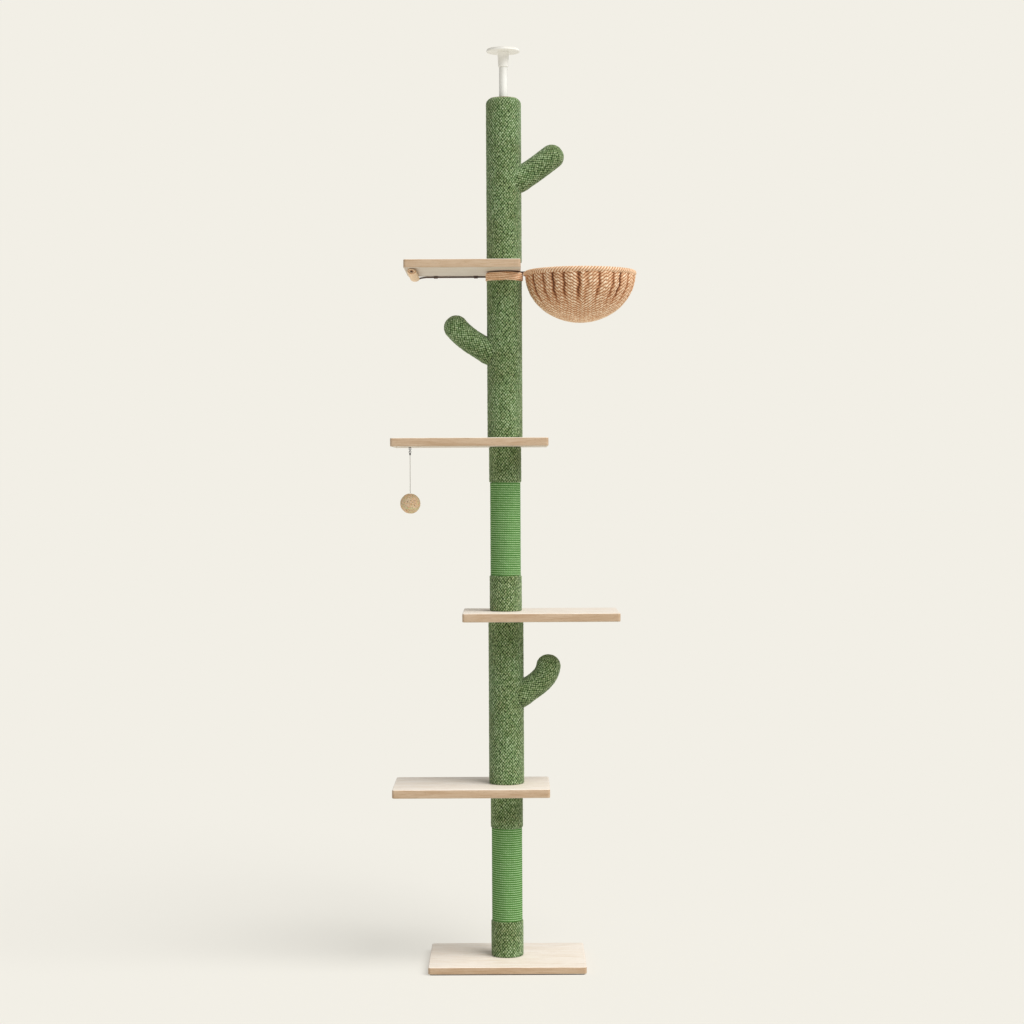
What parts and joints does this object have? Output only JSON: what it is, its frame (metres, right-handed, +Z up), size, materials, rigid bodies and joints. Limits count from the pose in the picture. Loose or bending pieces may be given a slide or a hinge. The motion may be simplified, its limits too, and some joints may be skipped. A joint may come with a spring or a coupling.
{
  "type": "cat tree",
  "caption": "Floor-to-ceiling cat tree: a fabric-covered cactus post on a wooden base with platforms, a woven basket, stub arms, a hanging ball toy and a sprung ceiling pole.",
  "frame": {"origin": "on the post's axis at the floor, at the middle of the grip mat's underside", "axes": "+Z up along the post, the boards' long front edges face -Y, the basket is on the +X side"},
  "size_m": [0.6308, 0.3, 2.3541],
  "materials": {
    "eva_foam": "matt closed-cell foam",
    "pale_wood": "pale sanded wood with a thin satin lacquer",
    "tube_card": "spiral-wound card",
    "plug_plastic": "moulded black plastic",
    "zinc_steel": "zinc-plated steel",
    "frame_steel": "dark brown powder coat",
    "dark_green_knit": "coarse bobbly knit in mixed greens",
    "light_green_rope": "wound two-strand rope, brighter green",
    "woven_cord": "woven twisted paper cord",
    "white_metal": "white powder coat",
    "white_plastic": "white moulded plastic",
    "black_metal": "black coated wire",
    "grey_string": "thin twisted string",
    "toy_sisal": "wound sisal twine"
  },
  "bodies": {
    "post": {"base_mat": "eva_foam", "base_board": "pale_wood", "base_bolt": "zinc_steel", "base_washer": "zinc_steel", "post_tube_1": "tube_card", "post_tube_2": "tube_card", "post_tube_3": "tube_card", "post_tube_4": "tube_card", "post_tube_5": "tube_card", "plug_low_1": "plug_plastic", "plug_low_2": "plug_plastic", "plug_low_3": "plug_plastic", "plug_low_4": "plug_plastic", "plug_low_5": "plug_plastic", "plug_top_1": "plug_plastic", "plug_top_2": "plug_plastic", "plug_top_3": "plug_plastic", "plug_top_4": "plug_plastic", "cuff_low_1": "dark_green_knit", "rope_1": "light_green_rope", "cuff_top_1": "dark_green_knit", "sleeve_2": "dark_green_knit", "cuff_low_3": "dark_green_knit", "rope_3": "light_green_rope", "cuff_top_3": "dark_green_knit", "sleeve_4": "dark_green_knit", "sleeve_5": "dark_green_knit", "joint_stud_1": "zinc_steel", "joint_stud_2": "zinc_steel", "joint_stud_3": "zinc_steel", "joint_stud_4": "zinc_steel", "cactus_arm_1": "dark_green_knit", "cactus_arm_2": "dark_green_knit", "cactus_arm_3": "dark_green_knit", "arm_bolt_1": "zinc_steel", "arm_bolt_2": "zinc_steel", "arm_bolt_3": "zinc_steel", "collar_wrap": "woven_cord", "pole_guide": "plug_plastic"},
    "lowest_platform": {"platform_1": "pale_wood"},
    "middle_platform": {"platform_2": "pale_wood"},
    "upper_platform": {"platform_3": "pale_wood", "toy_eye": "black_metal"},
    "toy_ring": {"toy_link": "black_metal"},
    "toy": {"toy_clip": "black_metal", "toy_string": "grey_string", "toy_ball": "toy_sisal"},
    "top_unit": {"top_perch": "pale_wood", "basket_frame": "frame_steel", "basket_bowl": "woven_cord", "perch_brace": "frame_steel", "brace_wrap": "woven_cord", "brace_clip_1": "frame_steel", "brace_clip_2": "frame_steel"},
    "pole": {"pole": "white_metal", "pole_slider": "plug_plastic", "pad_spring": "zinc_steel"},
    "pad": {"pad_cone": "white_plastic", "ceiling_pad": "white_plastic", "pad_facing": "white_plastic"}
  },
  "joints": [
    {"name": "lowest_platform_swivel", "type": "hinge", "parent": "post", "child": "lowest_platform", "pos_m": [0, 0, 0.454], "axis": [0, 0, 1], "continuous": true},
    {"name": "middle_platform_swivel", "type": "hinge", "parent": "post", "child": "middle_platform", "pos_m": [0, 0, 0.899], "axis": [0, 0, 1], "continuous": true},
    {"name": "upper_platform_swivel", "type": "hinge", "parent": "post", "child": "upper_platform", "pos_m": [0, 0, 1.344], "axis": [0, 0, 1], "continuous": true},
    {"name": "toy_swing_side", "type": "hinge", "parent": "toy_ring", "child": "toy", "pos_m": [-0.245, 0, 1.3217], "axis": [0, 1, 0], "range_deg": [-60, 60]},
    {"name": "toy_swing_front", "type": "hinge", "parent": "upper_platform", "child": "toy_ring", "pos_m": [-0.245, 0, 1.3256], "axis": [1, 0, 0], "range_deg": [-60, 60]},
    {"name": "top_unit_swivel", "type": "hinge", "parent": "post", "child": "top_unit", "pos_m": [0, 0, 1.794], "axis": [0, 0, 1], "range_deg": [-90, 90]},
    {"name": "pole_height", "type": "slide", "parent": "post", "child": "pole", "axis": [0, 0, 1], "range_m": [-0.05, 0.12]},
    {"name": "pad_press", "type": "slide", "parent": "pole", "child": "pad", "axis": [0, 0, 1], "range_m": [-0.02, 0], "stiffness_N_per_m": 2500, "springref_m": 0.012, "deforming": ["pad_spring"]}
  ]
}
